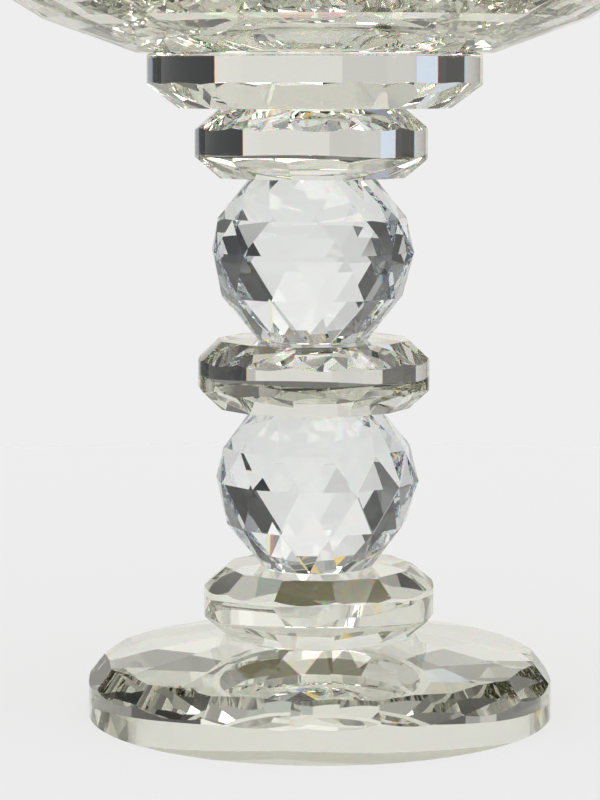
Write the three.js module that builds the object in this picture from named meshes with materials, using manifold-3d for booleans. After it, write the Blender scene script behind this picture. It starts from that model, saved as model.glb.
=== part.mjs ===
// A cut-crystal candlestick, in millimetres, +Z up, standing on the plane z = 0.
// Eight solid glass pieces stand on each other, some a little off the bowl's axis. Each is bonded
// to the next by a thin clear film.
import * as THREE from 'three';
import { ConvexGeometry } from 'three/addons/geometries/ConvexGeometry.js';
import { mergeVertices } from 'three/addons/utils/BufferGeometryUtils.js';
import Module from 'manifold-3d';

const wasm = await Module();
wasm.setup();

// Cured adhesive between two ground faces, kept back from the edge of the smaller face
const BOND_THICKNESS = 0.15;
const BOND_SETBACK = 0.6;

// Foot: a round slab with a polished wall, one row of cuts on its rim and a low crown whose
// cuts stand half a pitch from those of the rim
const FOOT_RADIUS = 60.5;
const FOOT_WALL_HEIGHT = 9.9;
const FOOT_RIM_RADIUS = 56.5;
const FOOT_RIM_HEIGHT = 15;
const FOOT_CROWN_HEIGHT = 21;
const FOOT_SEAT_MARGIN = 1;
const FOOT_CUTS = 17;
const FOOT_TURN = 35;

// Collar discs: three alike, with a polished wall and a row of cuts above and below it
const COLLAR_RADIUS = 30;
const COLLAR_HEIGHT = 17.6;
const COLLAR_FACE_RADIUS = 24.5;
const COLLAR_BEVEL_HEIGHT = 4.55;
const COLLAR_CUTS = 12;
const LOWER_COLLAR_TURN = 7.6;
const MIDDLE_COLLAR_TURN = 19.5;
const UPPER_COLLAR_TURN = 18.4;

// Balls: two alike, cut in four rows of triangles between two ground flats
const BALL_HEIGHT = 41.5;
const BALL_BOTTOM_FLAT_RADIUS = 14.6;
const BALL_LOW_RING_HEIGHT = 11.1;
const BALL_LOW_RING_RADIUS = 23.5;
const BALL_WAIST_HEIGHT = 22.65;
const BALL_WAIST_RADIUS = 26.65;
const BALL_HIGH_RING_HEIGHT = 31.3;
const BALL_HIGH_RING_RADIUS = 24.4;
const BALL_TOP_FLAT_RADIUS = 16.5;
const BALL_CUTS = 12;
const LOWER_BALL_TURN = 6.8;
const UPPER_BALL_TURN = 3.5;

// Plate under the bowl: a wider disc, cut below its wall and eased on its upper edge
const PLATE_RADIUS = 43.1;
const PLATE_HEIGHT = 13.9;
const PLATE_FACE_RADIUS = 35;
const PLATE_BEVEL_HEIGHT = 6;
const PLATE_EASED_EDGE = 0.9;
const PLATE_CUTS = 17;
const PLATE_TURN = 1.6;

// Bowl: triangular cuts in four rows outside, smooth inside, with a seat for one candle
const BOWL_CUTS = 24;
const BOWL_TURN = 7;
const BOWL_FOOT_RADIUS = 46;
const BOWL_RIM_RADIUS = 98;
const BOWL_HEIGHT = 42;
const BOWL_LOW_RING_INSET = 28;
const BOWL_LOW_RING_HEIGHT = 8.7;
const BOWL_MID_RING_INSET = 12.5;
const BOWL_MID_RING_HEIGHT = 18.2;
const BOWL_HIGH_RING_INSET = 3.5;
const BOWL_HIGH_RING_HEIGHT = 30;
const BOWL_RIM_WIDTH = 6;
const BOWL_FLOOR_THICKNESS = 9;
const BOWL_FLOOR_RADIUS = 34;
const BOWL_INSIDE_SPREAD = 34;
const BOWL_INSIDE_RISE = 20;
const CANDLE_SEAT_RADIUS = 20.5;
const CANDLE_SEAT_DEPTH = 4.5;

// How far each piece was bonded from the bowl's axis, towards +X
const FOOT_SHIFT = 1.2;
const LOWER_COLLAR_SHIFT = 0.9;
const LOWER_BALL_SHIFT = 0.4;
const MIDDLE_COLLAR_SHIFT = -0.4;
const UPPER_BALL_SHIFT = -0.8;
const UPPER_COLLAR_SHIFT = -1.1;
const PLATE_SHIFT = -0.2;

// Fineness of the round walls and of the bowl's inside curve
const WALL_STEPS = 96;
const FOOT_WALL_STEPS = 102;
const CURVE_STEPS = 10;

// Glass with a faint warm green in the slabs, neutral glass in the balls, clear resin in the films
const slabGlass = () => new THREE.MeshStandardMaterial({ color: 0xdcdccb, roughness: 0.02, metalness: 0 });
const ballGlass = () => new THREE.MeshStandardMaterial({ color: 0xeceef0, roughness: 0.02, metalness: 0 });
const clearResin = () => new THREE.MeshStandardMaterial({ color: 0xf4f4f0, roughness: 0.1, metalness: 0 });

// A merged closed geometry as a solid, without the flat triangles that a lathe leaves on its axis
function solidOf(geometry) {
  const bare = geometry.clone();
  bare.deleteAttribute('normal');
  bare.deleteAttribute('uv');
  const merged = mergeVertices(bare, 1e-5);
  const corners = merged.index.array;
  const kept = [];
  for (let i = 0; i < corners.length; i += 3) {
    const [a, b, c] = [corners[i], corners[i + 1], corners[i + 2]];
    if (a !== b && b !== c && c !== a) kept.push(a, b, c);
  }
  return new wasm.Manifold(new wasm.Mesh({
    numProp: 3,
    vertProperties: new Float32Array(merged.attributes.position.array),
    triVerts: new Uint32Array(kept),
  }));
}

// A solid as a named mesh whose lowest face stands at the given height, shifted towards +X
function pieceOf(solid, name, material, shift, height) {
  const raw = solid.getMesh();
  const geometry = new THREE.BufferGeometry();
  geometry.setAttribute('position', new THREE.BufferAttribute(raw.vertProperties, 3));
  geometry.setIndex(new THREE.BufferAttribute(raw.triVerts, 1));
  geometry.computeVertexNormals();
  const mesh = new THREE.Mesh(geometry, material);
  mesh.name = name;
  mesh.position.set(shift, 0, height);
  return mesh;
}

// Corners of a level regular polygon, counted from the front towards +X
function ring(cuts, radius, height, turn) {
  return Array.from({ length: cuts }, (_, i) => {
    const angle = THREE.MathUtils.degToRad(turn + (i * 360) / cuts);
    return new THREE.Vector3(radius * Math.sin(angle), -radius * Math.cos(angle), height);
  });
}

// A row of flat cuts: the cone of planes through two like polygons, carried on past them
function cutCone(cuts, turn, lower, upper, bottom, top) {
  const slope = (upper.radius - lower.radius) / (upper.height - lower.height);
  const radiusAt = (height) => lower.radius + slope * (height - lower.height);
  const corners = [...ring(cuts, radiusAt(bottom), bottom, turn), ...ring(cuts, radiusAt(top), top, turn)];
  return solidOf(new ConvexGeometry(corners));
}

// A turned blank about the Z axis, from its profile of radius and height
function turned(profile, steps, turn) {
  const geometry = new THREE.LatheGeometry(profile, steps);
  geometry.rotateX(Math.PI / 2);
  geometry.rotateZ(THREE.MathUtils.degToRad(turn - 90));
  return solidOf(geometry);
}

function cylinder(radius, height, steps, turn) {
  const profile = [
    new THREE.Vector2(0, 0),
    new THREE.Vector2(radius, 0),
    new THREE.Vector2(radius, height),
    new THREE.Vector2(0, height),
  ];
  return turned(profile, steps, turn);
}

const FOOT_SEAT_RADIUS = COLLAR_FACE_RADIUS + FOOT_SEAT_MARGIN;

function foot() {
  const wallTop = { radius: FOOT_RADIUS, height: FOOT_WALL_HEIGHT };
  const rim = { radius: FOOT_RIM_RADIUS, height: FOOT_RIM_HEIGHT };
  const seat = { radius: FOOT_SEAT_RADIUS, height: FOOT_CROWN_HEIGHT };
  const blank = cylinder(FOOT_RADIUS, FOOT_CROWN_HEIGHT, FOOT_WALL_STEPS, FOOT_TURN);
  const rimCuts = cutCone(FOOT_CUTS, FOOT_TURN, wallTop, rim, 0, FOOT_CROWN_HEIGHT);
  const crownTurn = FOOT_TURN + 180 / FOOT_CUTS;
  const crownCuts = cutCone(FOOT_CUTS, crownTurn, rim, seat, 0, FOOT_CROWN_HEIGHT);
  return blank.intersect(rimCuts).intersect(crownCuts);
}

function collar(turn) {
  const shoulder = COLLAR_HEIGHT - COLLAR_BEVEL_HEIGHT;
  const bottomFace = { radius: COLLAR_FACE_RADIUS, height: 0 };
  const wallBottom = { radius: COLLAR_RADIUS, height: COLLAR_BEVEL_HEIGHT };
  const wallTop = { radius: COLLAR_RADIUS, height: shoulder };
  const topFace = { radius: COLLAR_FACE_RADIUS, height: COLLAR_HEIGHT };
  const blank = cylinder(COLLAR_RADIUS, COLLAR_HEIGHT, WALL_STEPS, turn);
  const lowerCuts = cutCone(COLLAR_CUTS, turn, bottomFace, wallBottom, 0, COLLAR_HEIGHT);
  const upperCuts = cutCone(COLLAR_CUTS, turn, wallTop, topFace, 0, COLLAR_HEIGHT);
  return blank.intersect(lowerCuts).intersect(upperCuts);
}

// Each ring's corners stand over the middles of the edges below, so the rows are triangles
function ball(turn) {
  const halfCut = 180 / BALL_CUTS;
  const corners = [
    ...ring(BALL_CUTS, BALL_BOTTOM_FLAT_RADIUS, 0, turn + halfCut),
    ...ring(BALL_CUTS, BALL_LOW_RING_RADIUS, BALL_LOW_RING_HEIGHT, turn),
    ...ring(BALL_CUTS, BALL_WAIST_RADIUS, BALL_WAIST_HEIGHT, turn + halfCut),
    ...ring(BALL_CUTS, BALL_HIGH_RING_RADIUS, BALL_HIGH_RING_HEIGHT, turn),
    ...ring(BALL_CUTS, BALL_TOP_FLAT_RADIUS, BALL_HEIGHT, turn + halfCut),
  ];
  return solidOf(new ConvexGeometry(corners));
}

function plate() {
  const face = { radius: PLATE_FACE_RADIUS, height: 0 };
  const wallBottom = { radius: PLATE_RADIUS, height: PLATE_BEVEL_HEIGHT };
  const profile = [
    new THREE.Vector2(0, 0),
    new THREE.Vector2(PLATE_RADIUS, 0),
    new THREE.Vector2(PLATE_RADIUS, PLATE_HEIGHT - PLATE_EASED_EDGE),
    new THREE.Vector2(PLATE_RADIUS - PLATE_EASED_EDGE, PLATE_HEIGHT),
    new THREE.Vector2(0, PLATE_HEIGHT),
  ];
  const blank = turned(profile, WALL_STEPS, PLATE_TURN);
  const lowerCuts = cutCone(PLATE_CUTS, PLATE_TURN, face, wallBottom, 0, PLATE_HEIGHT);
  return blank.intersect(lowerCuts);
}

// The bowl's inside: the seat, the flat floor, then one smooth curve out to the rim
function bowlInside() {
  const insideRimRadius = BOWL_RIM_RADIUS - BOWL_RIM_WIDTH;
  const seatFloor = BOWL_FLOOR_THICKNESS - CANDLE_SEAT_DEPTH;
  const sweep = new THREE.CubicBezierCurve(
    new THREE.Vector2(BOWL_FLOOR_RADIUS, BOWL_FLOOR_THICKNESS),
    new THREE.Vector2(BOWL_FLOOR_RADIUS + BOWL_INSIDE_SPREAD, BOWL_FLOOR_THICKNESS),
    new THREE.Vector2(insideRimRadius, BOWL_HEIGHT - BOWL_INSIDE_RISE),
    new THREE.Vector2(insideRimRadius, BOWL_HEIGHT),
  );
  const profile = [
    new THREE.Vector2(0, seatFloor),
    new THREE.Vector2(CANDLE_SEAT_RADIUS, seatFloor),
    new THREE.Vector2(CANDLE_SEAT_RADIUS, BOWL_FLOOR_THICKNESS),
    ...sweep.getPoints(CURVE_STEPS),
    new THREE.Vector2(insideRimRadius, BOWL_HEIGHT + BOWL_RIM_WIDTH),
    new THREE.Vector2(0, BOWL_HEIGHT + BOWL_RIM_WIDTH),
  ];
  return turned(profile, WALL_STEPS, BOWL_TURN);
}

function bowl() {
  const halfCut = 180 / BOWL_CUTS;
  const lowRadius = BOWL_RIM_RADIUS - BOWL_LOW_RING_INSET;
  const midRadius = BOWL_RIM_RADIUS - BOWL_MID_RING_INSET;
  const highRadius = BOWL_RIM_RADIUS - BOWL_HIGH_RING_INSET;
  const corners = [
    ...ring(BOWL_CUTS, BOWL_FOOT_RADIUS, 0, BOWL_TURN),
    ...ring(BOWL_CUTS, lowRadius, BOWL_LOW_RING_HEIGHT, BOWL_TURN + halfCut),
    ...ring(BOWL_CUTS, midRadius, BOWL_MID_RING_HEIGHT, BOWL_TURN),
    ...ring(BOWL_CUTS, highRadius, BOWL_HIGH_RING_HEIGHT, BOWL_TURN + halfCut),
    ...ring(BOWL_CUTS, BOWL_RIM_RADIUS, BOWL_HEIGHT, BOWL_TURN),
  ];
  return solidOf(new ConvexGeometry(corners)).subtract(bowlInside());
}

// The stack from the table up. Base and head are the radii inside the flats of the lower and the
// upper face, and bond names the film on the head.
const flats = (cuts, radius) => radius * Math.cos(Math.PI / cuts);
const collarFace = flats(COLLAR_CUTS, COLLAR_FACE_RADIUS);
const ballFaces = {
  base: flats(BALL_CUTS, BALL_BOTTOM_FLAT_RADIUS),
  head: flats(BALL_CUTS, BALL_TOP_FLAT_RADIUS),
};
const stack = [
  {
    name: 'foot',
    solid: foot(),
    material: slabGlass,
    height: FOOT_CROWN_HEIGHT,
    shift: FOOT_SHIFT,
    head: flats(FOOT_CUTS, FOOT_SEAT_RADIUS),
    bond: 'bond_foot_to_lower_collar',
  },
  {
    name: 'lower_collar',
    solid: collar(LOWER_COLLAR_TURN),
    material: slabGlass,
    height: COLLAR_HEIGHT,
    shift: LOWER_COLLAR_SHIFT,
    base: collarFace,
    head: collarFace,
    bond: 'bond_lower_collar_to_lower_ball',
  },
  {
    name: 'lower_ball',
    solid: ball(LOWER_BALL_TURN),
    material: ballGlass,
    height: BALL_HEIGHT,
    shift: LOWER_BALL_SHIFT,
    ...ballFaces,
    bond: 'bond_lower_ball_to_middle_collar',
  },
  {
    name: 'middle_collar',
    solid: collar(MIDDLE_COLLAR_TURN),
    material: slabGlass,
    height: COLLAR_HEIGHT,
    shift: MIDDLE_COLLAR_SHIFT,
    base: collarFace,
    head: collarFace,
    bond: 'bond_middle_collar_to_upper_ball',
  },
  {
    name: 'upper_ball',
    solid: ball(UPPER_BALL_TURN),
    material: ballGlass,
    height: BALL_HEIGHT,
    shift: UPPER_BALL_SHIFT,
    ...ballFaces,
    bond: 'bond_upper_ball_to_upper_collar',
  },
  {
    name: 'upper_collar',
    solid: collar(UPPER_COLLAR_TURN),
    material: slabGlass,
    height: COLLAR_HEIGHT,
    shift: UPPER_COLLAR_SHIFT,
    base: collarFace,
    head: collarFace,
    bond: 'bond_upper_collar_to_plate',
  },
  {
    name: 'bowl_plate',
    solid: plate(),
    material: slabGlass,
    height: PLATE_HEIGHT,
    shift: PLATE_SHIFT,
    base: flats(PLATE_CUTS, PLATE_FACE_RADIUS),
    head: flats(WALL_STEPS, PLATE_RADIUS - PLATE_EASED_EDGE),
    bond: 'bond_plate_to_bowl',
  },
  {
    name: 'bowl',
    solid: bowl(),
    material: slabGlass,
    height: BOWL_HEIGHT,
    shift: 0,
    base: flats(BOWL_CUTS, BOWL_FOOT_RADIUS),
  },
];

// The largest round film on both faces of a joint, kept back from their edges
function bondBetween(below, above) {
  const start = Math.max(below.shift - below.head, above.shift - above.base);
  const end = Math.min(below.shift + below.head, above.shift + above.base);
  const film = cylinder((end - start) / 2 - BOND_SETBACK, BOND_THICKNESS, WALL_STEPS / 2, 0);
  return { film, shift: (start + end) / 2 };
}

const candlestick = new THREE.Group();
let level = 0;
for (const [i, piece] of stack.entries()) {
  candlestick.add(pieceOf(piece.solid, piece.name, piece.material(), piece.shift, level));
  level += piece.height;
  const above = stack[i + 1];
  if (above) {
    const { film, shift } = bondBetween(piece, above);
    candlestick.add(pieceOf(film, piece.bond, clearResin(), shift, level));
    level += BOND_THICKNESS;
  }
}

export default candlestick;
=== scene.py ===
import math

import bmesh
import bpy
from bpy.props import FloatProperty, FloatVectorProperty, IntProperty, PointerProperty
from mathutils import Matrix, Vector


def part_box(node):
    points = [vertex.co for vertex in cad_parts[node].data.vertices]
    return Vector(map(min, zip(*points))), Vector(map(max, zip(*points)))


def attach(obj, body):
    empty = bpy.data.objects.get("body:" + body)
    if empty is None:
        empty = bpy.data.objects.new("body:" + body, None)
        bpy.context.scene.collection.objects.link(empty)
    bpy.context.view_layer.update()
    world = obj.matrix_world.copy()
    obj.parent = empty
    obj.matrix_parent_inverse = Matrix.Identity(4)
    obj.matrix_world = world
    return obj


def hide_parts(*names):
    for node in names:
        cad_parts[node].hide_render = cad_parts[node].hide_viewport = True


bl_info = {
    "name": "Cut Crystal Candlestick",
    "version": (1, 0, 0),
    "blender": (4, 5, 0),
    "location": "3D View > Sidebar > Candlestick",
    "description": "Grinds and bonds the glass pieces of a candlestick and sets its studio",
    "category": "Add Mesh",
}

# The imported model. Every piece is ground on its node's own axis and between its node's heights.
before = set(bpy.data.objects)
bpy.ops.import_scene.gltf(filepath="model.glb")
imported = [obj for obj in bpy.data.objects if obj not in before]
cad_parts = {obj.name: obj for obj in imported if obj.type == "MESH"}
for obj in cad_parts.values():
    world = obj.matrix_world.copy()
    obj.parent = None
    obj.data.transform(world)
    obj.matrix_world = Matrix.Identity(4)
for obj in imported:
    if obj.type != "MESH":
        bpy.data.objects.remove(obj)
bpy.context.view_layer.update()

STACK = (
    "foot",
    "lower_collar",
    "lower_ball",
    "middle_collar",
    "upper_ball",
    "upper_collar",
    "bowl_plate",
    "bowl",
)
# The film above each piece of the stack but the last
FILMS = (
    "bond_foot_to_lower_collar",
    "bond_lower_collar_to_lower_ball",
    "bond_lower_ball_to_middle_collar",
    "bond_middle_collar_to_upper_ball",
    "bond_upper_ball_to_upper_collar",
    "bond_upper_collar_to_plate",
    "bond_plate_to_bowl",
)

MM = 0.001
# Metres within which two places are the same
TOUCH = 1e-6
# A face is level where its normal is at least this upright
LEVEL = 0.99
# How close the middle of a bonded face lies to the middle of its joint
JOINT_REACH = 0.1 * MM
# The sides of a round wall meet at less than this, two flats at more
ROUND_ANGLE = math.radians(2.5)
# Sides of a round blank for each of its cuts
SIDES_PER_CUT = {"foot": 24, "collar": 32, "ball": 8, "plate": 24, "bowl": 16}


# ---------------------------------------------------------------- colours and nodes


def linear(code):
    """An sRGB hex colour as linear red, green and blue."""
    parts = [int(code[i : i + 2], 16) / 255 for i in (0, 2, 4)]
    return tuple(p / 12.92 if p <= 0.04045 else ((p + 0.055) / 1.055) ** 2.4 for p in parts)


WHITE = linear("ffffff")


def add_node(tree, kind, settings=(), **inputs):
    """Adds a node. settings are its own attributes. An input is named with _ for each space,
    or in_ and its number, and takes a value or another node's output."""
    node = tree.nodes.new(kind)
    for key, value in dict(settings).items():
        setattr(node, key, value)
    for key, value in inputs.items():
        socket = node.inputs[int(key[3:]) if key.startswith("in_") else key.replace("_", " ")]
        if isinstance(value, bpy.types.NodeSocket):
            tree.links.new(value, socket)
        else:
            socket.default_value = value
    return node


def new_material(name):
    """An empty node material with its output."""
    material = bpy.data.materials.new(name)
    material.use_nodes = True
    material.node_tree.nodes.clear()
    return material, add_node(material.node_tree, "ShaderNodeOutputMaterial")


# Glass bends red least and blue most. These are steps from the index of green light.
BAND_STEPS = (-1.0, 0.0, 1.15)
# The eye's ray has a depth of 1 at the second face that it meets, and of 2 or more behind it
SECOND_FACE = 1.5
# How much of the light there isn't split, because a full split looks grainy
PLAIN_SHARE = 0.5
# Share of red, green and blue light that each face lets through to the table
PASSING = (0.96, 0.96, 0.955)


def polished_crystal(name, tint, ior, spread):
    """Lead-free optical crystal, cut on a wheel and polished to a mirror. It gives the eye crisp
    facets, bright and dark images of the studio, and coloured fringes where the light is split.
    The tint is what each surface takes off, in place of the colour in the depth of the glass."""
    material, out = new_material(name)
    tree = material.node_tree
    path = add_node(tree, "ShaderNodeLightPath").outputs

    def glass(colour, index):
        settings = {"distribution": "MULTI_GGX"}
        node = add_node(tree, "ShaderNodeBsdfGlass", settings, Color=(*colour, 1), Roughness=0.0, IOR=index)
        return node.outputs[0]

    def mix(share, first, second):
        return add_node(tree, "ShaderNodeMixShader", in_0=share, in_1=first, in_2=second).outputs[0]

    plain = glass(tint, ior)
    # The split is made at the second face that the eye's ray meets, where the light leaves the
    # glass or is turned back, because there it shows most
    red, green, blue = (
        glass([tint[k] if k == band else 0.0 for k in range(3)], ior + step * spread)
        for band, step in enumerate(BAND_STEPS)
    )
    two = add_node(tree, "ShaderNodeAddShader", in_0=red, in_1=green).outputs[0]
    three = add_node(tree, "ShaderNodeAddShader", in_0=two, in_1=blue).outputs[0]
    deeper = add_node(
        tree, "ShaderNodeMath", {"operation": "GREATER_THAN"}, in_0=path["Ray Depth"], in_1=SECOND_FACE
    ).outputs[0]
    fringed = mix(PLAIN_SHARE, three, plain)
    inner = mix(deeper, fringed, plain)
    seen = mix(path["Is Camera Ray"], inner, plain)
    # Light on its way to the table and the table's own glow pass straight through, so the shadow
    # stays clean and pale
    clear = add_node(tree, "ShaderNodeBsdfTransparent", Color=(*PASSING, 1)).outputs[0]
    lit = mix(path["Is Shadow Ray"], seen, clear)
    glow = mix(path["Is Diffuse Ray"], lit, clear)
    tree.links.new(glow, out.inputs["Surface"])
    return material


def bonded_face():
    """Ground glass wetted by adhesive of its own index. Nothing of the surface is left to see."""
    material, out = new_material("bonded_face")
    clear = add_node(material.node_tree, "ShaderNodeBsdfTransparent", Color=(*WHITE, 1))
    material.node_tree.links.new(clear.outputs[0], out.inputs["Surface"])
    return material


def cured_adhesive(tint):
    """Light-cured optical adhesive, a film a seventh of a millimetre thick. It only tints."""
    material, out = new_material("cured_adhesive")
    clear = add_node(material.node_tree, "ShaderNodeBsdfTransparent", Color=(*tint, 1))
    material.node_tree.links.new(clear.outputs[0], out.inputs["Surface"])
    return material


def shared_material(key, maker, *values):
    """The material of that name, made on its first use."""
    return bpy.data.materials.get(key) or maker(*values)


# ---------------------------------------------------------------- grinding


def span(name):
    """The middle of the node's box, and the heights of its lower and upper end."""
    low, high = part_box(name)
    return (low + high) / 2, low.z, high.z


def ring(centre, cuts, radius, height, turn):
    """Corners of a level regular polygon round the centre, counted from the front towards +X."""
    angles = [turn + i * math.tau / cuts for i in range(cuts)]
    return [
        Vector((centre.x + radius * math.sin(angle), centre.y - radius * math.cos(angle), height))
        for angle in angles
    ]


def select_faces(piece, test):
    """Selects the faces of the piece in edit mode for which test(centre, normal) is true."""
    bpy.ops.mesh.select_all(action="DESELECT")
    shape = bmesh.from_edit_mesh(piece.data)
    for face in shape.faces:
        face.select = test(face.calc_center_median(), face.normal)
    shape.select_flush(True)
    bmesh.update_edit_mesh(piece.data)


def start_blank(name, radius, sides, turn):
    """A round blank between the heights of the node of that name, open in edit mode."""
    centre, low, high = span(name)
    bpy.ops.object.select_all(action="DESELECT")
    bpy.ops.mesh.primitive_cylinder_add(
        vertices=sides, radius=radius, depth=high - low, location=centre, rotation=(0, 0, turn)
    )
    blank = bpy.context.object
    blank.name = blank.data.name = name + "_crystal"
    bpy.ops.object.transform_apply(location=True, rotation=True, scale=True)
    bpy.ops.object.mode_set(mode="EDIT")
    bpy.ops.mesh.select_mode(type="FACE")
    return blank


def mark_joints(blank, name, radius):
    """Draws the round bonded area on each end of the blank, by an inset of its end face that is
    then moved to stand on the film. Returns the middle of each such area."""
    place = STACK.index(name)
    centre, low, high = span(name)
    joints = []
    for height, films in ((low, FILMS[:place][-1:]), (high, FILMS[place : place + 1])):
        for film in films:
            first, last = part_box(film)
            film_radius = (last.x - first.x) / 2
            film_middle = (first.x + last.x) / 2
            select_faces(blank, lambda c, n: abs(n.z) > LEVEL and abs(c.z - height) < TOUCH)
            bpy.ops.mesh.inset(thickness=radius - film_radius, depth=0)
            bpy.ops.transform.translate(value=(film_middle - centre.x, 0, 0))
            joints.append(Vector((film_middle, centre.y, height)))
    return joints


def grind(a, b, c, centre):
    """Grinds one flat through three corners: all that stands outside their plane goes."""
    normal = (b - a).cross(c - a).normalized()
    if normal.dot(a - centre) < 0:
        normal = -normal
    bpy.ops.mesh.select_all(action="SELECT")
    bpy.ops.mesh.bisect(plane_co=a, plane_no=normal, use_fill=True, clear_outer=True, threshold=TOUCH)


def grind_row(lower, upper, centre):
    """A row of like flats between two rings whose corners stand over each other."""
    for i, corner in enumerate(lower):
        grind(lower[i - 1], corner, upper[i], centre)


def grind_triangles(on, between, centre):
    """A row of triangles between two rings half a cut apart. between[i] follows on[i]."""
    for i, corner in enumerate(on):
        grind(corner, on[(i + 1) % len(on)], between[i], centre)
        grind(between[i - 1], between[i], corner, centre)


def finish_piece(piece, name, joints, glass):
    """Polishes the walls, gives the piece its glass and its bonded faces and fixes it in place."""
    bpy.ops.mesh.select_all(action="SELECT")
    bpy.ops.mesh.remove_doubles(threshold=TOUCH)
    bpy.ops.mesh.normals_make_consistent(inside=False)
    bpy.ops.object.mode_set(mode="OBJECT")
    piece.data.materials.clear()
    piece.data.materials.append(glass)
    piece.data.materials.append(shared_material("bonded_face", bonded_face))
    for face in piece.data.polygons:
        face.material_index = int(any((face.center - joint).length < JOINT_REACH for joint in joints))
    bpy.ops.object.select_all(action="DESELECT")
    piece.select_set(True)
    bpy.context.view_layer.objects.active = piece
    bpy.ops.object.shade_smooth_by_angle(angle=ROUND_ANGLE)
    if sum(face.material_index for face in piece.data.polygons) != len(joints):
        raise RuntimeError(name + " lacks a bonded face")
    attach(piece, "root")
    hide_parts(name)


# ---------------------------------------------------------------- sizes and colours


class FootSizes(bpy.types.PropertyGroup):
    """Sizes of the foot."""

    radius: FloatProperty(name="Radius", description="Polished wall", default=0.0605, unit="LENGTH")
    wall_height: FloatProperty(
        name="Wall Height", description="Upper end of the wall", default=0.0099, unit="LENGTH"
    )
    rim_radius: FloatProperty(
        name="Rim Radius", description="Top of the rim cuts", default=0.0565, unit="LENGTH"
    )
    rim_height: FloatProperty(
        name="Rim Height", description="Height of that ring", default=0.015, unit="LENGTH"
    )
    seat_radius: FloatProperty(
        name="Seat Radius", description="Flat on the crown", default=0.0255, unit="LENGTH"
    )
    cuts: IntProperty(name="Cuts", description="Cuts in each row", default=17, min=3)
    turn: FloatProperty(
        name="Turn", description="First corner, from the front", default=math.radians(35), unit="ROTATION"
    )


class CollarSizes(bpy.types.PropertyGroup):
    """Sizes of the three collars."""

    radius: FloatProperty(name="Radius", description="Polished wall", default=0.030, unit="LENGTH")
    face_radius: FloatProperty(
        name="Face Radius", description="Corners of the flat ends", default=0.0245, unit="LENGTH"
    )
    middle_face_radius: FloatProperty(
        name="Middle Face Radius",
        description="Corners of the flat ends of the middle collar, which is cut a little steeper",
        default=0.025065,
        unit="LENGTH",
        precision=5,
    )
    bevel_height: FloatProperty(
        name="Cut Height", description="Height of each row of cuts", default=0.00455, unit="LENGTH"
    )
    cuts: IntProperty(name="Cuts", description="Cuts in each row", default=12, min=3)
    lower_turn: FloatProperty(
        name="Lower Turn", description="Turn of the lower collar",
        default=math.radians(7.6), unit="ROTATION",
    )
    middle_turn: FloatProperty(
        name="Middle Turn", description="Turn of the middle collar",
        default=math.radians(19.5), unit="ROTATION",
    )
    upper_turn: FloatProperty(
        name="Upper Turn", description="Turn of the upper collar",
        default=math.radians(18.4), unit="ROTATION",
    )


class BallSizes(bpy.types.PropertyGroup):
    """Sizes of the two balls."""

    bottom_radius: FloatProperty(
        name="Bottom Flat", description="Corners of the lower flat", default=0.0146, unit="LENGTH"
    )
    low_radius: FloatProperty(
        name="Low Ring", description="Corners of the low ring", default=0.0235, unit="LENGTH"
    )
    low_height: FloatProperty(
        name="Low Ring Height", description="Its height in the ball", default=0.0111, unit="LENGTH"
    )
    waist_radius: FloatProperty(
        name="Waist", description="Corners of the waist", default=0.02665, unit="LENGTH"
    )
    waist_height: FloatProperty(
        name="Waist Height", description="Its height in the ball", default=0.02265, unit="LENGTH"
    )
    high_radius: FloatProperty(
        name="High Ring", description="Corners of the high ring", default=0.0244, unit="LENGTH"
    )
    high_height: FloatProperty(
        name="High Ring Height", description="Its height in the ball", default=0.0313, unit="LENGTH"
    )
    top_radius: FloatProperty(
        name="Top Flat", description="Corners of the upper flat", default=0.0165, unit="LENGTH"
    )
    cuts: IntProperty(name="Cuts", description="Corners in each ring", default=12, min=3)
    lower_turn: FloatProperty(
        name="Lower Turn", description="Turn of the lower ball", default=math.radians(6.8), unit="ROTATION"
    )
    upper_turn: FloatProperty(
        name="Upper Turn", description="Turn of the upper ball", default=math.radians(3.5), unit="ROTATION"
    )


class PlateSizes(bpy.types.PropertyGroup):
    """Sizes of the plate under the bowl."""

    radius: FloatProperty(name="Radius", description="Polished wall", default=0.0431, unit="LENGTH")
    face_radius: FloatProperty(
        name="Face Radius", description="Corners of the lower face", default=0.035, unit="LENGTH"
    )
    bevel_height: FloatProperty(
        name="Cut Height", description="Height of the row of cuts", default=0.006, unit="LENGTH"
    )
    eased_edge: FloatProperty(
        name="Eased Edge", description="Width taken off the upper edge", default=0.0004, unit="LENGTH"
    )
    cuts: IntProperty(name="Cuts", description="Cuts below the wall", default=17, min=3)
    turn: FloatProperty(
        name="Turn", description="First corner, from the front", default=math.radians(1.6), unit="ROTATION"
    )


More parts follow.
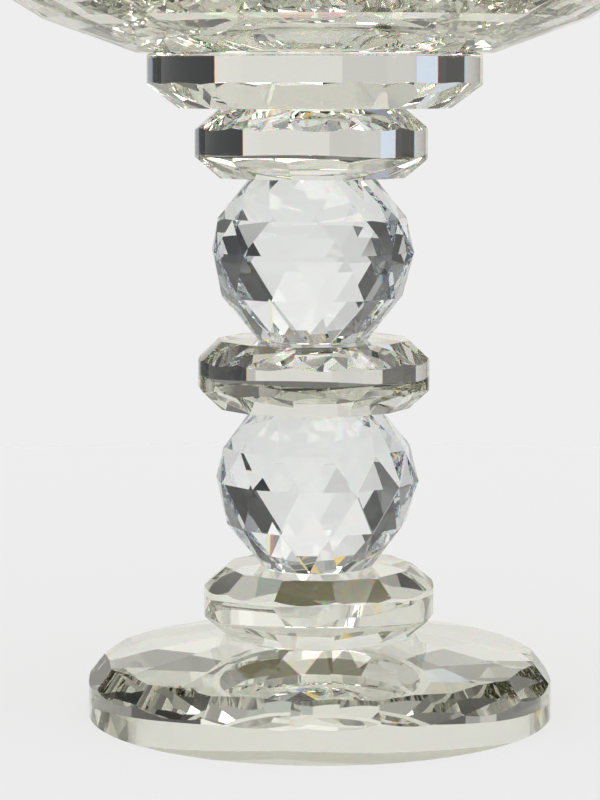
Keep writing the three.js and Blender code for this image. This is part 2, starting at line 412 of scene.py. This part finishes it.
class BowlSizes(bpy.types.PropertyGroup):
    """Sizes of the bowl. Its inside is a curve from the mouth to the floor, drawn by two handles."""

    foot_radius: FloatProperty(
        name="Foot", description="Corners of the underside", default=0.046, unit="LENGTH"
    )
    low_radius: FloatProperty(
        name="Low Ring", description="Corners of the low ring", default=0.070, unit="LENGTH"
    )
    low_height: FloatProperty(
        name="Low Ring Height", description="Its height in the bowl", default=0.0087, unit="LENGTH"
    )
    mid_radius: FloatProperty(
        name="Middle Ring", description="Corners of the middle ring", default=0.0855, unit="LENGTH"
    )
    mid_height: FloatProperty(
        name="Middle Ring Height", description="Its height in the bowl", default=0.0182, unit="LENGTH"
    )
    high_radius: FloatProperty(
        name="High Ring", description="Corners of the high ring", default=0.0945, unit="LENGTH"
    )
    high_height: FloatProperty(
        name="High Ring Height", description="Its height in the bowl", default=0.030, unit="LENGTH"
    )
    rim_radius: FloatProperty(name="Rim", description="Corners of the rim", default=0.098, unit="LENGTH")
    rim_width: FloatProperty(
        name="Rim Width", description="Width of the flat rim", default=0.006, unit="LENGTH"
    )
    wall_radius: FloatProperty(
        name="Wall Handle", description="Upper handle of the inside's curve", default=0.0910, unit="LENGTH"
    )
    wall_height: FloatProperty(
        name="Wall Handle Height", description="Its height in the bowl", default=0.0235, unit="LENGTH"
    )
    slope_radius: FloatProperty(
        name="Slope Handle", description="Lower handle of the inside's curve", default=0.0645, unit="LENGTH"
    )
    slope_height: FloatProperty(
        name="Slope Handle Height", description="Its height in the bowl", default=0.0102, unit="LENGTH"
    )
    floor_radius: FloatProperty(
        name="Floor Radius", description="Radius of the flat floor", default=0.034, unit="LENGTH"
    )
    floor_height: FloatProperty(
        name="Floor", description="Thickness under the floor", default=0.009, unit="LENGTH"
    )
    seat_radius: FloatProperty(
        name="Candle Seat", description="Radius of the candle seat", default=0.0205, unit="LENGTH"
    )
    seat_depth: FloatProperty(
        name="Seat Depth", description="Depth of the seat", default=0.0045, unit="LENGTH"
    )
    inside_cuts: IntProperty(name="Inside Cuts", description="Flats round the inside", default=16, min=3)
    inside_rows: IntProperty(
        name="Inside Rows", description="Rows of flats down the inside", default=7, min=2
    )
    cuts: IntProperty(name="Cuts", description="Corners in each outer ring", default=24, min=3)
    turn: FloatProperty(
        name="Turn", description="First corner, from the front", default=math.radians(7), unit="ROTATION"
    )


class GlassColours(bpy.types.PropertyGroup):
    """Tints of the glass and the adhesive, and how strongly the glass bends light."""

    slab_tint: FloatVectorProperty(
        name="Slab Tint",
        description="What one surface of a slab lets through",
        default=linear("f9f9f7"),
        size=3,
        subtype="COLOR",
        min=0,
        max=1,
    )
    ball_tint: FloatVectorProperty(
        name="Ball Tint",
        description="What one surface of a ball lets through",
        default=linear("f9fafb"),
        size=3,
        subtype="COLOR",
        min=0,
        max=1,
    )
    resin_tint: FloatVectorProperty(
        name="Adhesive Tint",
        description="What the adhesive lets through",
        default=linear("fdfdfc"),
        size=3,
        subtype="COLOR",
        min=0,
        max=1,
    )
    ior: FloatProperty(
        name="Refractive Index", description="Index for green light", default=1.52, min=1, max=3
    )
    slab_spread: FloatProperty(
        name="Slab Dispersion",
        description="Index for green light less that for red, in the slabs",
        default=0.008,
        precision=4,
    )
    ball_spread: FloatProperty(
        name="Ball Dispersion",
        description="Index for green light less that for red, in the balls",
        default=0.002,
        precision=4,
    )


class StudioSettings(bpy.types.PropertyGroup):
    """Colours of the table and the wall behind it, and the camera's place."""

    wall_grey: FloatVectorProperty(
        name="Wall",
        description="Colour of the wall behind the table",
        default=linear("eeeeee"),
        size=3,
        subtype="COLOR",
        min=0,
        max=1,
    )
    table_grey: FloatVectorProperty(
        name="Table",
        description="Colour of the table",
        default=linear("efefef"),
        size=3,
        subtype="COLOR",
        min=0,
        max=1,
    )
    # Painted shade: a darker copy of the table's colour, which the crystal shows in place of the real one
    painted_shade_grey: FloatVectorProperty(
        name="Table in the Glass",
        description="Colour of the table where the crystal shows it",
        default=linear("eeeeea"),
        size=3,
        subtype="COLOR",
        min=0,
        max=1,
    )
    table_radius: FloatProperty(
        name="Table Radius", description="Radius of the table", default=0.55, unit="LENGTH"
    )
    eye_side: FloatProperty(
        name="Camera Side", description="Camera's place right of the axis", default=-0.0040, unit="LENGTH"
    )
    eye_distance: FloatProperty(
        name="Camera Distance", description="From the axis to the camera", default=0.7235, unit="LENGTH"
    )
    eye_height: FloatProperty(
        name="Camera Height", description="Camera's height over the table", default=0.16434, unit="LENGTH"
    )
    eye_tilt: FloatProperty(
        name="Camera Tilt",
        description="Tilt up from straight down",
        default=math.radians(83.521),
        unit="ROTATION",
    )
    lens: FloatProperty(name="Lens", description="Focal length", default=126, unit="CAMERA")


def slab_glass(context):
    """The crystal of the foot, the collars, the plate and the bowl."""
    glass = context.scene.candlestick_glass
    name = "slab_optical_crystal"
    return shared_material(name, polished_crystal, name, glass.slab_tint, glass.ior, glass.slab_spread)


def ball_glass(context):
    """The crystal of the balls, clearer than the slabs."""
    glass = context.scene.candlestick_glass
    name = "ball_optical_crystal"
    return shared_material(name, polished_crystal, name, glass.ball_tint, glass.ior, glass.ball_spread)


# ---------------------------------------------------------------- pieces


class CANDLESTICK_OT_foot(bpy.types.Operator):
    """Grind the foot: a round slab with a row of rim cuts and a low crown half a cut away"""

    bl_idname = "candlestick.foot"
    bl_label = "Foot"

    def execute(self, context):
        size = context.scene.candlestick_foot
        centre, low, high = span("foot")
        blank = start_blank("foot", size.radius, size.cuts * SIDES_PER_CUT["foot"], size.turn)
        joints = mark_joints(blank, "foot", size.radius)
        wall_top = ring(centre, size.cuts, size.radius, low + size.wall_height, size.turn)
        rim = ring(centre, size.cuts, size.rim_radius, low + size.rim_height, size.turn)
        grind_row(wall_top, rim, centre)
        crown_turn = size.turn + math.pi / size.cuts
        crown_foot = ring(centre, size.cuts, size.rim_radius, low + size.rim_height, crown_turn)
        seat = ring(centre, size.cuts, size.seat_radius, high, crown_turn)
        grind_row(crown_foot, seat, centre)
        finish_piece(blank, "foot", joints, slab_glass(context))
        return {"FINISHED"}


class CANDLESTICK_OT_collars(bpy.types.Operator):
    """Grind the three collars: round slabs with a row of cuts above and below the wall"""

    bl_idname = "candlestick.collars"
    bl_label = "Collars"

    def execute(self, context):
        size = context.scene.candlestick_collars
        collars = {
            "lower_collar": (size.lower_turn, size.face_radius),
            "middle_collar": (size.middle_turn, size.middle_face_radius),
            "upper_collar": (size.upper_turn, size.face_radius),
        }
        for name, (turn, face_radius) in collars.items():
            centre, low, high = span(name)
            blank = start_blank(name, size.radius, size.cuts * SIDES_PER_CUT["collar"], turn)
            joints = mark_joints(blank, name, size.radius)
            bottom = ring(centre, size.cuts, face_radius, low, turn)
            wall_bottom = ring(centre, size.cuts, size.radius, low + size.bevel_height, turn)
            wall_top = ring(centre, size.cuts, size.radius, high - size.bevel_height, turn)
            top = ring(centre, size.cuts, face_radius, high, turn)
            grind_row(bottom, wall_bottom, centre)
            grind_row(wall_top, top, centre)
            finish_piece(blank, name, joints, slab_glass(context))
        return {"FINISHED"}


class CANDLESTICK_OT_balls(bpy.types.Operator):
    """Grind the two balls: four rows of triangles between two ground flats"""

    bl_idname = "candlestick.balls"
    bl_label = "Balls"

    def execute(self, context):
        size = context.scene.candlestick_balls
        for name, turn in {"lower_ball": size.lower_turn, "upper_ball": size.upper_turn}.items():
            centre, low, high = span(name)
            blank = start_blank(name, size.waist_radius, size.cuts * SIDES_PER_CUT["ball"], turn)
            joints = mark_joints(blank, name, size.waist_radius)
            half = turn + math.pi / size.cuts
            bottom = ring(centre, size.cuts, size.bottom_radius, low, half)
            low_ring = ring(centre, size.cuts, size.low_radius, low + size.low_height, turn)
            waist = ring(centre, size.cuts, size.waist_radius, low + size.waist_height, half)
            high_ring = ring(centre, size.cuts, size.high_radius, low + size.high_height, turn)
            top = ring(centre, size.cuts, size.top_radius, high, half)
            for on, between in ((low_ring, bottom), (low_ring, waist), (high_ring, waist), (high_ring, top)):
                grind_triangles(on, between, centre)
            finish_piece(blank, name, joints, ball_glass(context))
        return {"FINISHED"}


class CANDLESTICK_OT_plate(bpy.types.Operator):
    """Grind the plate: a wider slab, cut below its wall, with its upper edge eased"""

    bl_idname = "candlestick.plate"
    bl_label = "Plate"

    def execute(self, context):
        size = context.scene.candlestick_plate
        name = "bowl_plate"
        centre, low, high = span(name)
        blank = start_blank(name, size.radius, size.cuts * SIDES_PER_CUT["plate"], size.turn)
        joints = mark_joints(blank, name, size.radius)
        bpy.ops.mesh.select_mode(type="EDGE")
        bpy.ops.mesh.select_all(action="DESELECT")
        shape = bmesh.from_edit_mesh(blank.data)
        for edge in shape.edges:
            edge.select = all(
                abs(v.co.z - high) < TOUCH and (v.co - centre).xy.length > size.radius - TOUCH
                for v in edge.verts
            )
        bmesh.update_edit_mesh(blank.data)
        bpy.ops.mesh.bevel(offset=size.eased_edge, segments=1, affect="EDGES")
        bpy.ops.mesh.select_mode(type="FACE")
        face = ring(centre, size.cuts, size.face_radius, low, size.turn)
        wall_bottom = ring(centre, size.cuts, size.radius, low + size.bevel_height, size.turn)
        grind_row(face, wall_bottom, centre)
        finish_piece(blank, name, joints, slab_glass(context))
        return {"FINISHED"}


class CANDLESTICK_OT_bowl(bpy.types.Operator):
    """Sink the bowl's inside from its rim, then grind four rows of triangles outside"""

    bl_idname = "candlestick.bowl"
    bl_label = "Bowl"

    def execute(self, context):
        size = context.scene.candlestick_bowl
        name = "bowl"
        centre, low, high = span(name)
        sides = size.cuts * SIDES_PER_CUT["bowl"]
        blank = start_blank(name, size.rim_radius, sides, size.turn)
        joints = mark_joints(blank, name, size.rim_radius)
        select_faces(blank, lambda c, n: n.z > LEVEL)
        bpy.ops.mesh.inset(thickness=size.rim_width, depth=0)
        self.cut_mouth(sides // size.inside_cuts)
        # Rows of flats on one curve from the mouth down to the floor, a cubic of four points
        bend = (
            (size.rim_radius - size.rim_width, high),
            (size.wall_radius, low + size.wall_height),
            (size.slope_radius, low + size.slope_height),
            (size.floor_radius, low + size.floor_height),
        )
        radius, height = bend[0]
        for step in range(1, size.inside_rows + 1):
            t = step / size.inside_rows
            weights = ((1 - t) ** 3, 3 * t * (1 - t) ** 2, 3 * t * t * (1 - t), t**3)
            new_radius, new_height = (sum(w * p[k] for w, p in zip(weights, bend)) for k in (0, 1))
            self.sink(centre, radius, height, new_radius, new_height)
            radius, height = new_radius, new_height
        bpy.ops.mesh.inset(thickness=radius - size.seat_radius, depth=0)
        self.sink(centre, size.seat_radius, height, size.seat_radius, height - size.seat_depth)
        half = size.turn + math.pi / size.cuts
        foot = ring(centre, size.cuts, size.foot_radius, low, size.turn)
        low_ring = ring(centre, size.cuts, size.low_radius, low + size.low_height, half)
        mid_ring = ring(centre, size.cuts, size.mid_radius, low + size.mid_height, size.turn)
        high_ring = ring(centre, size.cuts, size.high_radius, low + size.high_height, half)
        rim = ring(centre, size.cuts, size.rim_radius, high, size.turn)
        for on, between in ((foot, low_ring), (mid_ring, low_ring), (mid_ring, high_ring), (rim, high_ring)):
            grind_triangles(on, between, centre)
        finish_piece(blank, name, joints, slab_glass(context))
        return {"FINISHED"}

    def cut_mouth(self, keep):
        """Keeps every so many of the corners of the selected round face, with straight sides
        between them."""
        bpy.ops.mesh.select_mode(type="EDGE")
        shape = bmesh.from_edit_mesh(bpy.context.object.data)
        mouth = next(face for face in shape.faces if face.select)
        middle = mouth.calc_center_median()
        spokes = [
            edge
            for place, corner in enumerate(mouth.verts)
            for edge in corner.link_edges
            if place % keep and edge not in mouth.edges[:]
        ]
        bpy.ops.mesh.select_all(action="DESELECT")
        for spoke in spokes:
            spoke.select = True
        bmesh.update_edit_mesh(bpy.context.object.data)
        bpy.ops.mesh.dissolve_edges(use_verts=True)
        bpy.ops.mesh.select_mode(type="FACE")
        select_faces(bpy.context.object, lambda c, n: n.z > LEVEL and (c - middle).length < MM)

    def sink(self, centre, radius, height, new_radius, new_height):
        """Extrudes the selected round face down to a new height and narrows it."""
        bpy.ops.mesh.extrude_region_move(TRANSFORM_OT_translate={"value": (0, 0, new_height - height)})
        scale = new_radius / radius
        if abs(scale - 1) > TOUCH:
            middle = (centre.x, centre.y, new_height)
            bpy.ops.transform.resize(value=(scale, scale, 1), center_override=middle)


class CANDLESTICK_OT_adhesive(bpy.types.Operator):
    """Give the seven films of the joints their cured adhesive"""

    bl_idname = "candlestick.adhesive"
    bl_label = "Adhesive"

    def execute(self, context):
        tint = context.scene.candlestick_glass.resin_tint
        resin = shared_material("cured_adhesive", cured_adhesive, tint)
        for film in FILMS:
            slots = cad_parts[film].material_slots
            if not slots:
                raise RuntimeError(film + " has no material slot")
            for slot in slots:
                slot.material = resin
        return {"FINISHED"}


# ---------------------------------------------------------------- studio


# What the crystal mirrors and bends. Each row of the room ends at a height in degrees. Its cards,
# lamps and gaps follow, each with where it starts, in degrees from the back towards +X, and its
# brightness or its colour. This room is fitted, not observed: up to 55 degrees most brightness
# numbers were solved from the photograph by least squares, for its one view, and then rounded.
# The rest were set one by one towards it. The words beside the rows are a reading of the numbers.
STUDIO_ROWS = (
    # below the table's edge
    (-9, (
        (-180, 0.51), (-130, 0.18), (-27, 0.11), (-20, 0.71), (20, 0.42), (27, 0.13), (95, 0.78),
        (150, 0.57),
    )),
    # level: the wall behind between two dark cards, with pale walls beyond them
    (-4.5, (
        (-180, 0.14), (-130, 0.75), (-80, 0.70), (-52, 0.17), (-25.5, 0.69), (-7, 0.75), (20, 0.51),
        (24.5, "2c2f34"), (80, 0.29), (110, 0.65), (130, 0.08), (165, 0.20),
    )),
    # the same, with a narrow cool lamp at the left end of the wall
    (3, (
        (-180, 0.28), (-130, 0.75), (-80, 0.70), (-52, 0.10), (-34.5, "dbe8fd"), (-25.5, 0.64),
        (-7, 0.77), (20, 0.78), (24.5, "22252b"), (80, 0.32), (110, 0.75), (130, 0.23), (165, 0.20),
    )),
    (9, (
        (-180, 0.17), (-150, 0.39), (-80, 0.56), (-44, 0.17), (-32, 0.20), (-27, 0.02), (-20, 0.72),
        (-7, 0.82), (14, 0.72), (23, 0.02), (95, 0.35), (130, 0.39), (165, 0.53),
    )),
    # the cards' heads lean in over the wall
    (18, (
        (-180, 0.88), (-165, 0.54), (-150, 0.70), (-80, 0.47), (-65, 0.17), (-37.5, 0.56), (-32, 0.34),
        (-27, 0.07), (-20, 0.83), (-7, 0.86), (14, 0.94), (20.5, 0.06), (41, 0.26), (80, 0.64),
        (110, 1.08), (130, 0.47), (150, 0.27), (165, 1.00),
    )),
    (29, (
        (-180, 0.39), (-150, 0.71), (-130, 0.59), (-80, 0.29), (-51, 0.07), (-27, 0.72), (-14, 0.86),
        (14, 0.97), (20, 0.83), (27.5, 0.28), (41, 0.04), (80, 0.51), (110, 0.25), (165, 0.43),
    )),
    # a golden board behind the camera
    (35, (
        (-180, "ffdf94"), (-165, 0.79), (-130, 0.47), (-80, 0.11), (-32, 0.20), (-27, 0.62), (-7, 0.94),
        (7, 0.62), (27.5, 0.08), (41, 0.02), (80, 0.87), (130, 0.69), (150, 0.41), (165, "ffdf94"),
    )),
    # the dark gap above the wall
    (42, (
        (-180, 0.94), (-150, 0.30), (-95, 0.06), (-51, 0.22), (-32, 0.06), (-27, 0.31), (-20, "716e59"),
        (20, 0.30), (27.5, 0.09), (80, 1.04), (130, 0.66), (150, 0.92),
    )),
    # a lamp above the wall, another at the right
    (55, (
        (-180, 0.65), (-110, 0.36), (-65, 0.08), (-32, 0.38), (-27, 0.42), (-20, 0.73), (7, "a9b2b0"),
        (20, 0.60), (52, 0.55), (80, 0.91), (110, 0.44), (150, 0.87),
    )),
    # lamps and gaps of the ceiling
    (68, (
        (-180, 0.08), (-150, 3.40), (-115, 0.05), (-75, 3.80), (-45, 0.05), (-12, 4.20), (18, 0.05),
        (50, 3.80), (82, 0.05), (112, 3.80), (145, 0.08), (165, 3.00),
    )),
    (90, (
        (-180, 0.05), (-135, 4.20), (-90, 0.05), (-45, 4.40), (0, 0.05), (45, 4.20), (90, 0.05),
        (135, 4.20),
    )),
)
# Half the height of the soft edge between two rows
SOFT_EDGE = math.radians(0.8)
# Strength of the room's red, green and blue light. Its lamps are a little warm.
ROOM_LIGHT = (1.07, 1.06, 1.02)


def studio_world(grey):
    """The room round the table. Matt things are lit evenly, the camera sees the plain wall, and
    only polished things see the lamps and the cards."""
    world = bpy.data.worlds.new("studio")
    bpy.context.scene.world = world
    world.use_nodes = True
    tree = world.node_tree
    tree.nodes.clear()
    way = add_node(tree, "ShaderNodeTexCoord").outputs["Generated"]
    parts = add_node(tree, "ShaderNodeSeparateXYZ", in_0=way).outputs
    rise = add_node(tree, "ShaderNodeMath", {"operation": "ARCSINE"}, in_0=parts["Z"]).outputs[0]
    bearing = add_node(
        tree, "ShaderNodeMath", {"operation": "ARCTAN2"}, in_0=parts["X"], in_1=parts["Y"]
    ).outputs[0]
    turn = add_node(
        tree, "ShaderNodeMapRange", From_Min=-math.pi, From_Max=math.pi, To_Min=0.0, To_Max=1.0, Value=bearing
    ).outputs[0]
    light = None
    below = None
    for top, stops in STUDIO_ROWS:
        ramp = add_node(tree, "ShaderNodeValToRGB", Fac=turn)
        ramp.color_ramp.interpolation = "CONSTANT"
        marks = ramp.color_ramp.elements
        while len(marks) < len(stops):
            marks.new(0.5)
        for mark, (degrees, value) in zip(marks, stops):
            mark.position = (degrees + 180) / 360
            mark.color = (*(linear(value) if isinstance(value, str) else (value,) * 3), 1)
        row = ramp.outputs[0]
        if light is None:
            light = row
        else:
            above = add_node(
                tree,
                "ShaderNodeMapRange",
                {"interpolation_type": "SMOOTHSTEP"},
                Value=rise,
                From_Min=below - SOFT_EDGE,
                From_Max=below + SOFT_EDGE,
            ).outputs[0]
            light = add_node(
                tree, "ShaderNodeMix", {"data_type": "RGBA"}, in_0=above, in_6=light, in_7=row
            ).outputs[2]
        below = math.radians(top)
    path = add_node(tree, "ShaderNodeLightPath").outputs
    mirrored = add_node(
        tree,
        "ShaderNodeMath",
        {"operation": "MAXIMUM"},
        in_0=path["Is Glossy Ray"],
        in_1=path["Is Transmission Ray"],
    ).outputs[0]
    even = add_node(tree, "ShaderNodeBackground", Color=(*WHITE, 1), Strength=1.0).outputs[0]
    warm = add_node(
        tree,
        "ShaderNodeMix",
        {"data_type": "RGBA", "blend_type": "MULTIPLY"},
        in_0=1.0,
        in_6=light,
        in_7=(*ROOM_LIGHT, 1),
    ).outputs[2]
    room = add_node(tree, "ShaderNodeBackground", Color=warm, Strength=1.0).outputs[0]
    wall = add_node(tree, "ShaderNodeBackground", Color=(*grey, 1), Strength=1.0).outputs[0]
    lit = add_node(tree, "ShaderNodeMixShader", in_0=mirrored, in_1=even, in_2=room).outputs[0]
    seen = add_node(tree, "ShaderNodeMixShader", in_0=path["Is Camera Ray"], in_1=lit, in_2=wall).outputs[0]
    add_node(tree, "ShaderNodeOutputWorld", Surface=seen)


def matt_board(grey, painted_shade):
    """Matt pale board. It gives the eye the faint shadow that the crystal stands on. The camera sees the
    board's own colour; every other ray, such as one through the crystal, sees a slightly darker and warmer
    copy of it, a painted shade."""
    material, out = new_material("matt_board")
    tree = material.node_tree
    path = add_node(tree, "ShaderNodeLightPath").outputs
    # Painted shade: a slightly darker, warmer copy of the board for every ray but the camera's, so the table
    # looks shaded where the crystal shows it
    inside = add_node(tree, "ShaderNodeBsdfDiffuse", Color=(*painted_shade, 1), Roughness=1.0).outputs[0]
    beside = add_node(tree, "ShaderNodeBsdfDiffuse", Color=(*grey, 1), Roughness=1.0).outputs[0]
    board = add_node(tree, "ShaderNodeMixShader", in_0=path["Is Camera Ray"], in_1=inside, in_2=beside)
    tree.links.new(board.outputs[0], out.inputs["Surface"])
    return material


# The table lies this far under the foot, so that the two faces don't flicker
TABLE_DROP = 0.05 * MM
TABLE_SIDES = 96
# Light crosses many faces before it leaves the stack
FACES_CROSSED = 40
CLEAR_FACES_CROSSED = 96
# Width of the film behind the lens, in millimetres, and how far the camera sees, in metres
FILM_WIDTH = 36
SIGHT = 200


class CANDLESTICK_OT_stage(bpy.types.Operator):
    """Set the table, the studio and the camera"""

    bl_idname = "candlestick.stage"
    bl_label = "Studio and Camera"

    def execute(self, context):
        scene = context.scene
        studio = scene.candlestick_studio
        scene.view_settings.view_transform = "Standard"
        scene.cycles.max_bounces = FACES_CROSSED
        scene.cycles.glossy_bounces = FACES_CROSSED
        scene.cycles.transmission_bounces = FACES_CROSSED
        scene.cycles.transparent_max_bounces = CLEAR_FACES_CROSSED
        bpy.ops.object.select_all(action="DESELECT")
        bpy.ops.mesh.primitive_circle_add(
            vertices=TABLE_SIDES,
            radius=studio.table_radius,
            fill_type="NGON",
            location=(0, 0, -TABLE_DROP),
        )
        table = context.object
        table.name = table.data.name = "table"
        bpy.ops.object.transform_apply(location=True, rotation=True, scale=True)
        table.data.materials.append(matt_board(tuple(studio.table_grey), tuple(studio.painted_shade_grey)))
        studio_world(tuple(studio.wall_grey))
        bpy.ops.object.camera_add(
            location=(studio.eye_side, -studio.eye_distance, studio.eye_height),
            rotation=(studio.eye_tilt, 0, 0),
        )
        camera = context.object
        camera.name = camera.data.name = "camera"
        camera.data.lens = studio.lens
        camera.data.sensor_width = FILM_WIDTH
        camera.data.clip_end = SIGHT
        scene.camera = camera
        return {"FINISHED"}


class CANDLESTICK_PT_panel(bpy.types.Panel):
    """The candlestick's pieces, in the order in which they are made"""

    bl_idname = "CANDLESTICK_PT_panel"
    bl_label = "Candlestick"
    bl_space_type = "VIEW_3D"
    bl_region_type = "UI"
    bl_category = "Candlestick"

    def draw(self, context):
        column = self.layout.column()
        for operator in OPERATORS:
            column.operator(operator.bl_idname)
        for group, key in GROUPS.items():
            box = self.layout.box()
            sizes = getattr(context.scene, key)
            for size in group.__annotations__:
                box.prop(sizes, size)


OPERATORS = (
    CANDLESTICK_OT_foot,
    CANDLESTICK_OT_collars,
    CANDLESTICK_OT_balls,
    CANDLESTICK_OT_plate,
    CANDLESTICK_OT_bowl,
    CANDLESTICK_OT_adhesive,
    CANDLESTICK_OT_stage,
)
GROUPS = {
    FootSizes: "candlestick_foot",
    CollarSizes: "candlestick_collars",
    BallSizes: "candlestick_balls",
    PlateSizes: "candlestick_plate",
    BowlSizes: "candlestick_bowl",
    GlassColours: "candlestick_glass",
    StudioSettings: "candlestick_studio",
}


def register():
    for cls in (*GROUPS, *OPERATORS, CANDLESTICK_PT_panel):
        bpy.utils.register_class(cls)
    for group, key in GROUPS.items():
        setattr(bpy.types.Scene, key, PointerProperty(type=group))


def unregister():
    for key in GROUPS.values():
        delattr(bpy.types.Scene, key)
    for cls in reversed((*GROUPS, *OPERATORS, CANDLESTICK_PT_panel)):
        bpy.utils.unregister_class(cls)


def main():
    register()
    bpy.ops.candlestick.foot()
    bpy.ops.candlestick.collars()
    bpy.ops.candlestick.balls()
    bpy.ops.candlestick.plate()
    bpy.ops.candlestick.bowl()
    bpy.ops.candlestick.adhesive()
    bpy.ops.candlestick.stage()


if __name__ == "__main__":
    main()
